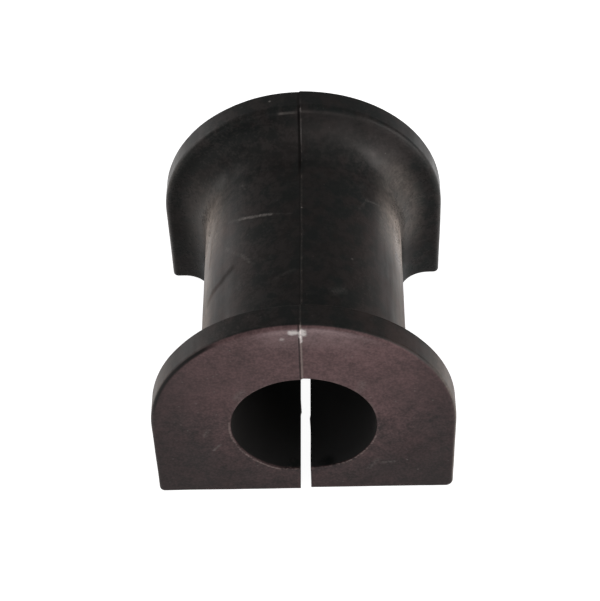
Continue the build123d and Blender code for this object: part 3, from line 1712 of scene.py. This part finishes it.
@dataclass(frozen=True)
class PaintedSideHighlights:
    """Painted highlights low on the sides: the waist, where it runs into the rear cove, and the rims."""

    # Pale colour for painted highlights, where the sides reflect the lit floor and the low lamps.
    colour: tuple[float, float, float, float] = (0.460, 0.385, 0.335, 1.0)
    highlight_breakup: Unevenness = Unevenness(level=0.2, patches=0.35, mottle=0.4, speckle=0.35)

    rear_turn: Band = Band.degrees(42, 80, 98, 128)
    rear_start: Fade = Fade(0.0, 9.5)
    rear_end: Fade = Fade(21.5, 14.0)
    rear_right_shift: float = 2.0

    front_turn: Fade = Fade.degrees(55, 73)
    front_along: Band = Band(-18.0, -10.0, 0.0, 6.0)
    front_level: float = 0.54
    front_right_drop: float = 0.3

    cove_turn: Fade = Fade.degrees(50, 76)
    cove_right_turn: float = 0.2
    cove_under: Fade = Fade.degrees(118, 98)
    cove_width: Fade = Fade(22.5, 19.5)
    cove_along: Fade = Fade(18.0, 21.0)
    cove_right_shift: float = 2.5
    cove_level: float = 0.08
    cove_right_rise: float = 0.07

    rim_ring: Fade = Fade(-0.6, -0.2)
    rim_turn: Fade = Fade.degrees(48, 72)
    rim_forward: Fade = Fade(0.0, -5.0)
    front_rim_level: float = 0.26
    front_rim_right_rise: float = 0.08
    rear_rim_level: float = 0.13
    rear_rim_right_drop: float = 0.1

    def share(self, at: SurfacePoint) -> Channel:
        """How much painted highlight lies at a point.

        Args:
            at: The point being shaded.

        Returns:
            The paler colour's share, 0 away from the skin.
        """
        rear = self.rear_turn.over(at.turned) * self.rear_start.over(at.along)
        rear = rear * self.rear_end.over(at.along + at.to_right * self.rear_right_shift)
        front = self.front_turn.over(at.turned) * self.front_along.over(at.along)
        front = front * (self.front_level - at.to_right * self.front_right_drop)
        painted_highlight = rear + front + self.cove_share(at) + self.rim_share(at)
        return painted_highlight * self.highlight_breakup.over(at) * at.skin

    def cove_share(self, at: SurfacePoint) -> Channel:
        """How much painted highlight lies low on the rear cove's sides.

        Args:
            at: The point being shaded.

        Returns:
            The paler colour's share, before it is broken up.
        """
        around = self.cove_turn.over(at.turned + at.to_right * self.cove_right_turn)
        around = around * self.cove_under.over(at.turned) * self.cove_width.over(at.half_width)
        along = self.cove_along.over(at.along + at.to_right * self.cove_right_shift)
        return around * along * (self.cove_level + at.to_right * self.cove_right_rise)

    def rim_share(self, at: SurfacePoint) -> Channel:
        """How much painted highlight lies low on the sides of both flanges' rims.

        Args:
            at: The point being shaded.

        Returns:
            The paler colour's share, before it is broken up.
        """
        rims = self.rim_ring.over(at.half_width, at.sizes.rim_radius) * self.rim_turn.over(at.turned)
        front = self.front_rim_level + at.to_right * self.front_rim_right_rise
        rear = self.rear_rim_level - at.to_right * self.rear_rim_right_drop
        return rims * (rear + self.rim_forward.over(at.along) * (front - rear))


@dataclass(frozen=True)
class Dullness:
    """How rough the rubber is: streaked along the skin, polished on its sides, and dull where it is wiped.

    The start of the matt edge counts from the front flange's inner face.
    """

    level: float = 0.42
    spread: float = 0.11
    streaks: Patchiness = Patchiness(1.2, 2.0)
    streak_stretch: float = 0.12
    grain: Unevenness = Unevenness(mottle=0.6, speckle=0.6, neutral=MIDDLE)
    forward: Fade = Fade(2.0, -15.0)
    forward_share: float = 0.06
    face_share: float = 0.1
    wipe_share: float = 0.3
    polish_turn: Fade = Fade.degrees(50, 80)
    polish_along: Fade = Fade(-8.0, 8.0)
    polish_share: float = 0.12
    edge_start: Fade = Fade(-0.5, -0.25)
    edge_end: Fade = Fade(-10.0, -12.0)
    edge_ring: Fade = Fade(-0.8, -0.5)
    edge_share: float = 0.5

    def roughness(self, at: SurfacePoint, wiped: Channel) -> Channel:
        """The surface's roughness.

        Args:
            at: The point being shaded.
            wiped: How much the point is wiped, from 0 to 1.

        Returns:
            The roughness of the shader.
        """
        drawn_out = at.graph.joined(at.arc, at.along * self.streak_stretch, at.radius)
        streaks = self.streaks.over(at.graph, drawn_out) - MIDDLE
        uneven = (at.patches - MIDDLE + (streaks + self.grain.over(at)) * at.skin) * self.spread
        forward = self.forward.over(at.along) * at.skin * self.forward_share
        polish = self.polish_turn.over(at.turned) * self.polish_along.over(at.along) * at.skin
        worn = wiped * self.wipe_share - polish * self.polish_share + self.matt_edge(at) * self.edge_share
        return self.level + uneven + forward + at.end * self.face_share + worn

    def matt_edge(self, at: SurfacePoint) -> Channel:
        """How matt the front flange's inner edge is."""
        edge = self.edge_start.over(at.along, -at.sizes.inner_face) * self.edge_end.over(at.along)
        return edge * self.edge_ring.over(at.radius, at.sizes.rim_radius)


@dataclass(frozen=True)
class RubberFinish:
    """Matt black moulded rubber, with a dusty bloom and the scuffs of handling, and with painted highlights,
    reflections, light and shade.
    """

    body: tuple[float, float, float, float] = (0.0088, 0.0112, 0.0110, 1.0)
    body_red: tuple[float, float, float, float] = (0.0132, 0.0116, 0.0112, 1.0)
    reddening: Unevenness = Unevenness(patches=0.5, blush=0.5)
    reddened: Fade = Fade(0.25, 0.75)
    inside: tuple[float, float, float, float] = (0.011, 0.0108, 0.0106, 1.0)
    # Painted light: the bore's wall is paler on its right half, which the lamps leave darker.
    inside_painted_light: tuple[float, float, float, float] = (0.042, 0.042, 0.042, 1.0)
    inside_rightward: Fade = Fade(-7.0, 9.0)
    face_body: tuple[float, float, float, float] = (0.0175, 0.0128, 0.0132, 1.0)
    dust_and_painted_light: SkinDustAndPaintedLight = SkinDustAndPaintedLight()
    side_bloom_and_highlight: SideBloomAndHighlight = SideBloomAndHighlight()
    painted_side_highlights: PaintedSideHighlights = PaintedSideHighlights()
    painted_edge_highlight: PaintedEdgeHighlight = PaintedEdgeHighlight()
    face_bloom_and_painted_light: FaceBloomAndPaintedLight = FaceBloomAndPaintedLight()
    seam_shading_and_chalk: SeamShadingAndChalk = SeamShadingAndChalk()
    handling: Handling = Handling()
    dullness: Dullness = Dullness()
    index: float = 1.45
    reflectance: float = 0.21
    reflection_tint: tuple[float, float, float, float] = (1.0, 0.92, 0.88, 1.0)
    sheen: float = 0.06
    sheen_roughness: float = 0.4
    sheen_tint: tuple[float, float, float, float] = (1.0, 0.84, 0.80, 1.0)
    grain: float = 0.32
    grain_layers: float = 2.0
    grain_share: float = 0.6
    mottle_share: float = 0.4
    bump_depth: float = 0.02
    bump_strength: float = 0.35

    def colour(self, at: SurfacePoint) -> bpy.types.NodeSocket:
        """The rubber's colour, from the black body up to the chalk.

        Args:
            at: The point being shaded.

        Returns:
            The colour's socket.
        """
        graph = at.graph
        face, seam = self.face_bloom_and_painted_light, self.seam_shading_and_chalk
        # The bore's right half is paler: painted light.
        inside = graph.blend(self.inside_rightward.over(at.across), self.inside, self.inside_painted_light)
        colour = graph.blend(self.reddened.over(self.reddening.over(at)), self.body, self.body_red)
        layers = (
            (at.bore, inside),
            (at.end, self.face_body),
            # Dust, with painted light on the rear flange's inner side.
            (self.dust_and_painted_light.share(at), self.dust_and_painted_light.colour),
            # Reddish bloom, partly a painted warm highlight on the sides.
            (self.side_bloom_and_highlight.share(at), self.side_bloom_and_highlight.colour),
            # Painted highlights low on the sides of the waist, the rear cove and the rims.
            (self.painted_side_highlights.share(at), self.painted_side_highlights.colour),
            # Painted highlight along the rear flange's inner edge.
            (self.painted_edge_highlight.share(at), self.handling.pale),
            # Face bloom, grown towards the top as a painted reflection of the floor.
            (face.share(at), face.colour),
            # Painted highlight along the front face's top edge.
            (face.top_edge_highlight_share(at), face.top_edge_highlight_colour),
            # Pale lip round the mouth, partly flash and partly painted highlight.
            (face.lip_and_highlight_share(at), face.lip_and_highlight_colour),
            # Painted shade beside the seam's flash and on the front face's upper left edge.
            (seam.seam_and_edge_shade_share(at), seam.seam_shade),
            # Painted highlight on the lit side of the seam's flash.
            (seam.seam_highlight_share(at), seam.seam_highlight),
            (self.handling.pale_share(at), self.handling.pale),
            (seam.chalk_share(at), seam.chalk),
        )
        for share, over in layers:
            colour = graph.blend(share, colour, over)
        return colour

    def material(self, name: str, sizes: BushingSizes, slit: SlitShape) -> bpy.types.Material:
        """Makes the material.

        Args:
            name: The material's name.
            sizes: The moulding's sizes.
            slit: The slit's shape.

        Returns:
            The finished material.
        """
        made = bpy.data.materials.new(name)
        made.use_nodes = True
        graph = ShaderGraph(made.node_tree)
        at = SurfacePoint(graph, sizes, slit)
        grain = graph.clouds(at.place, self.grain, self.grain_layers)
        bump = graph.node(
            "ShaderNodeBump",
            inputs={
                "Strength": self.bump_strength, "Distance": self.bump_depth * MM,
                "Height": grain * self.grain_share + at.mottle * self.mottle_share,
            },
        )
        roughness = self.dullness.roughness(at, self.handling.wipe_share(at))
        shader = graph.node(
            "ShaderNodeBsdfPrincipled",
            inputs={
                "Base Color": self.colour(at), "Roughness": roughness, "IOR": self.index,
                "Specular IOR Level": self.reflectance, "Specular Tint": self.reflection_tint,
                "Sheen Weight": self.sheen, "Sheen Roughness": self.sheen_roughness,
                "Sheen Tint": self.sheen_tint, "Normal": bump.outputs[0],
            },
        )
        graph.node("ShaderNodeOutputMaterial", inputs={"Surface": shader.outputs[0]})
        return made


@dataclass
class Bushing:
    """The one rubber piece."""

    sizes: BushingSizes
    seam: Seam
    slit: SlitShape
    grid: WallGrid
    ripple: Ripple
    finish: RubberFinish

    def build(self, node: str) -> bpy.types.Object:
        """Builds the piece in the frame and dresses it.

        Args:
            node: The solid that it stands for.

        Returns:
            The rubber piece.
        """
        mesh = BushingWall(self.sizes, self.seam, self.slit, self.grid).mesh("rubber_bushing")
        self.ripple.apply(mesh)
        piece = bpy.data.objects.new("rubber_bushing", mesh)
        bpy.context.collection.objects.link(piece)
        mesh.materials.append(self.finish.material("moulded_rubber", self.sizes, self.slit))
        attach(piece, "root")
        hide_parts(node)
        log.info("%s: %d points, %d faces", piece.name, len(mesh.vertices), len(mesh.polygons))
        return piece


@dataclass(frozen=True)
class Floor:
    """A plain white floor that shows white to the eye and in reflections, and takes the shadow."""

    half_width: float = 3000.0
    paint: tuple[float, float, float, float] = (0.8, 0.8, 0.8, 1.0)
    glow: float = 0.95
    mirrored_glow: float = 0.6
    shade: float = 0.65
    shade_along: Fade = Fade(26.0, 18.0)
    shade_across: Fade = Fade(36.0, 26.0)

    def build(self) -> bpy.types.Object:
        """Lays the floor under the piece.

        Returns:
            The floor.
        """
        reach = self.half_width * MM
        corners = [(-reach, -reach, 0), (reach, -reach, 0), (reach, reach, 0), (-reach, reach, 0)]
        mesh = bpy.data.meshes.new("floor")
        mesh.from_pydata(corners, [], [(0, 1, 2, 3)])
        mesh.materials.append(self.material())
        piece = bpy.data.objects.new("floor", mesh)
        bpy.context.collection.objects.link(piece)
        return piece

    def material(self) -> bpy.types.Material:
        """The floor's paint, with a glow for the rays that see it as a background.

        Returns:
            The material, whose reflections are darker beside the waist, where the flanges shade it.
        """
        made = bpy.data.materials.new("floor_paint")
        made.use_nodes = True
        graph = ShaderGraph(made.node_tree)
        rays = graph.node("ShaderNodeLightPath").outputs
        direct, through, mirrored = (
            Channel(graph, rays[name]) for name in ("Is Camera Ray", "Is Transmission Ray", "Is Glossy Ray")
        )
        across, along, _ = graph.parts_of(graph.place_in_mm())
        between_flanges = self.shade_along.over(along.size()) * self.shade_across.over(across.size())
        reflected = mirrored * self.mirrored_glow * (1 - between_flanges * self.shade)
        strength = (direct.above(through) * self.glow).above(reflected)
        paint = graph.node("ShaderNodeBsdfDiffuse", inputs={"Color": self.paint})
        glow = graph.node("ShaderNodeEmission", inputs={"Color": grey(1.0), "Strength": strength})
        both = graph.node("ShaderNodeAddShader", inputs={0: paint.outputs[0], 1: glow.outputs[0]})
        graph.node("ShaderNodeOutputMaterial", inputs={"Surface": both.outputs[0]})
        return made


@dataclass(frozen=True)
class Softbox:
    """A low, wide lamp that looks at the piece."""

    name: str
    place: tuple[float, float, float]
    width: float
    height: float
    power: float

    def build(self, target: Vector) -> bpy.types.Object:
        """Stands the lamp in its place, turned to the target.

        Args:
            target: The point that it faces, in millimetres.

        Returns:
            The lamp.
        """
        lamp = bpy.data.lights.new(self.name, "AREA")
        lamp.shape = "RECTANGLE"
        lamp.size = self.width * MM
        lamp.size_y = self.height * MM
        lamp.energy = self.power
        piece = bpy.data.objects.new(self.name, lamp)
        bpy.context.collection.objects.link(piece)
        stand = Vector(self.place)
        piece.location = stand * MM
        piece.rotation_euler = (target - stand).to_track_quat("-Z", "Y").to_euler()
        return piece


@dataclass(frozen=True)
class Studio:
    """Soft light: a pale room, brighter on the left, with a low softbox on each side of the piece."""

    left: float = 0.37
    right: float = 0.25
    rightward: Fade = Fade(-0.8, 0.8)
    lamps: tuple[Softbox, ...] = (
        Softbox("left_softbox", (-870.0, 230.0, 165.0), 800.0, 300.0, 2.9),
        Softbox("right_softbox", (802.0, -409.0, 165.0), 800.0, 300.0, 5.8),
    )

    def build(self, target: Vector) -> None:
        """Lights the scene.

        Args:
            target: The point that the lamps face, in millimetres.
        """
        for lamp in self.lamps:
            lamp.build(target)
            log.info("%s: %.1f W", lamp.name, lamp.power)
        world = bpy.data.worlds.new("studio")
        bpy.context.scene.world = world
        world.use_nodes = True
        graph = ShaderGraph(world.node_tree)
        direction = graph.node("ShaderNodeTexCoord").outputs["Generated"]
        across = graph.parts_of(direction)[0]
        colour = graph.blend(self.rightward.over(across), grey(self.left), grey(self.right))
        light = graph.node("ShaderNodeBackground", inputs={"Color": colour, "Strength": 1.0})
        graph.node("ShaderNodeOutputWorld", inputs={"Surface": light.outputs[0]})


@dataclass(frozen=True)
class Viewpoint:
    """The camera: where it stands in millimetres, how it is turned, and its focal length in pixels."""

    stand: tuple[float, float, float] = (5.8165, -212.6302, 255.4388)
    azimuth: float = math.radians(-1.732)
    elevation: float = math.radians(48.133)
    roll: float = math.radians(2.284)
    focal_pixels: float = 1839.8
    picture_height: int = 601
    sensor_height: float = 36.0
    nearest: float = 10.0

    def matrix(self) -> Matrix:
        """The camera's place and turn in the frame.

        Returns:
            The matrix, in metres.
        """
        level = math.cos(self.elevation)
        forward = Vector((
            level * math.sin(self.azimuth), level * math.cos(self.azimuth), -math.sin(self.elevation)
        ))
        level_right = Vector((math.cos(self.azimuth), -math.sin(self.azimuth), 0.0))
        level_down = forward.cross(level_right)
        right = level_right * math.cos(self.roll) + level_down * math.sin(self.roll)
        down = forward.cross(right)
        turned = Matrix((right, -down, -forward)).transposed().to_4x4()
        return Matrix.Translation(Vector(self.stand) * MM) @ turned

    def build(self) -> bpy.types.Object:
        """Sets up the camera.

        Returns:
            The scene's camera.
        """
        lens = bpy.data.cameras.new("camera")
        lens.sensor_fit = "VERTICAL"
        lens.sensor_height = self.sensor_height
        lens.lens = self.sensor_height * self.focal_pixels / self.picture_height
        lens.clip_start = self.nearest * MM
        piece = bpy.data.objects.new("camera", lens)
        bpy.context.collection.objects.link(piece)
        piece.matrix_world = self.matrix()
        bpy.context.scene.camera = piece
        return piece


def main() -> None:
    """Builds the camera, the bushing, the floor and the lights."""
    logging.basicConfig(level=logging.INFO, format="%(name)s: %(message)s")
    bpy.context.scene.view_settings.view_transform = "Standard"
    Viewpoint().build()
    sizes = BushingSizes.from_frame(frame["record"], "bushing")
    Bushing(sizes, Seam(), SlitShape(), WallGrid(), Ripple(), RubberFinish()).build("bushing")
    Floor().build()
    Studio().build(Vector((0.0, 0.0, sizes.axis_height)))


if __name__ == "__main__":
    main()
